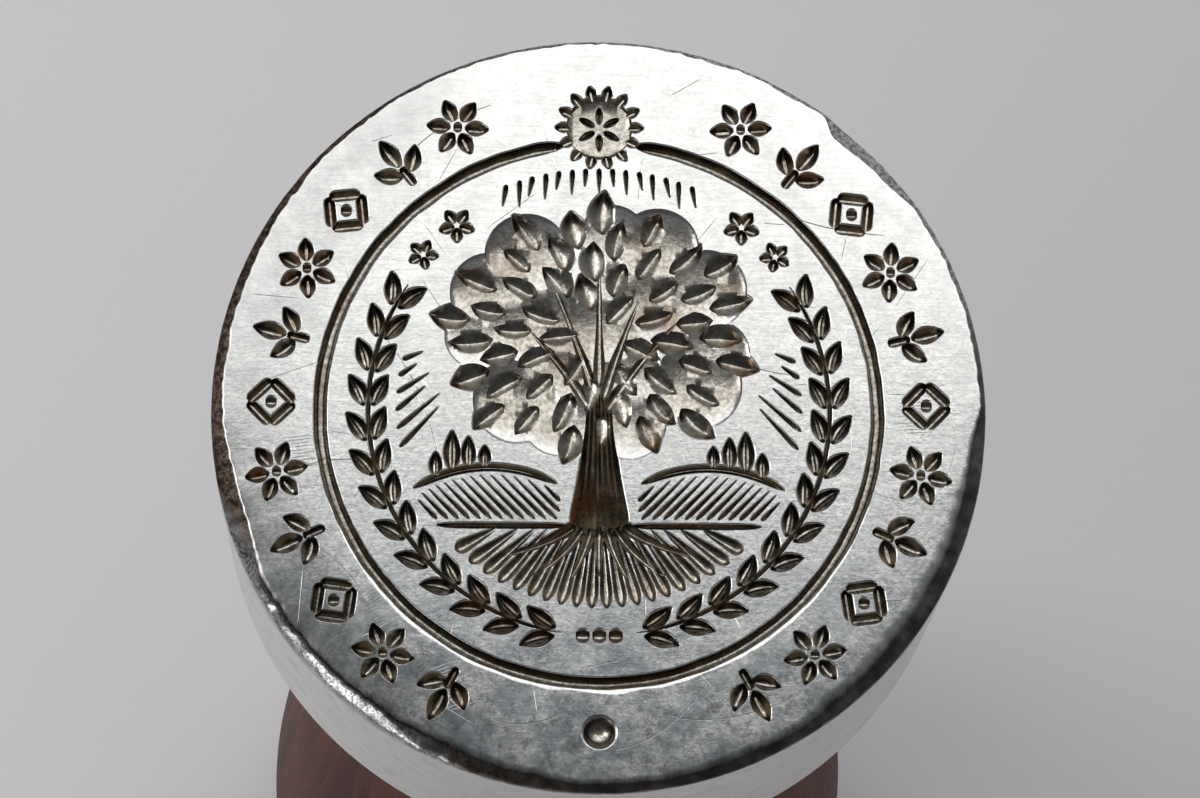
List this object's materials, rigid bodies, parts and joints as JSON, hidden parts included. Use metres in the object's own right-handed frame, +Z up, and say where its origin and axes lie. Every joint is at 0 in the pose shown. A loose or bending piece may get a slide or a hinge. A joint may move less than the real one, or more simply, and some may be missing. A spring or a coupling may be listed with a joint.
{
  "type": "desk seal",
  "caption": "Hand-held desk seal: a round engraved steel die that screws onto a turned wooden handle with a brass ferrule, standing on the handle's flat foot.",
  "frame": {"origin": "centre of the handle's flat foot, on the surface that the seal stands on", "axes": "+Z up the axis from the foot to the die's face, +Y towards the top of the engraving, with the thumb mark on -Y"},
  "size_m": [0.04, 0.04, 0.124],
  "materials": {
    "die_steel": "ground and worn, with brown stain in the engraving",
    "packing_leather": "oiled and pressed",
    "ferrule_brass": "tarnished",
    "pin_brass": "rubbed bright",
    "handle_wood": "polished with dark red-brown varnish",
    "stud_steel": "machined",
    "plug_wood": "oiled end grain"
  },
  "bodies": {
    "handle_assembly": {"handle": "handle_wood", "ferrule": "ferrule_brass", "ferrule_pins": "pin_brass", "thumb_mark": "pin_brass", "die_stud": "stud_steel", "nut_washer": "stud_steel", "stud_nut": "stud_steel", "foot_plug": "plug_wood"},
    "packing": {"packing_washer": "packing_leather"},
    "die": {"seal_die": "die_steel"}
  },
  "joints": [
    {"name": "die_lift", "type": "slide", "parent": "handle_assembly", "child": "packing", "axis": [0, 0, 1], "range_m": [0, 0.009]},
    {"name": "die_turn", "type": "hinge", "parent": "packing", "child": "die", "pos_m": [0, 0, 0.1084], "axis": [0, 0, 1], "range_deg": [0, 2160]}
  ],
  "couplings": [
    {"joint": "die_lift", "follows": "die_turn", "m_per_rad": 0.0002387}
  ]
}
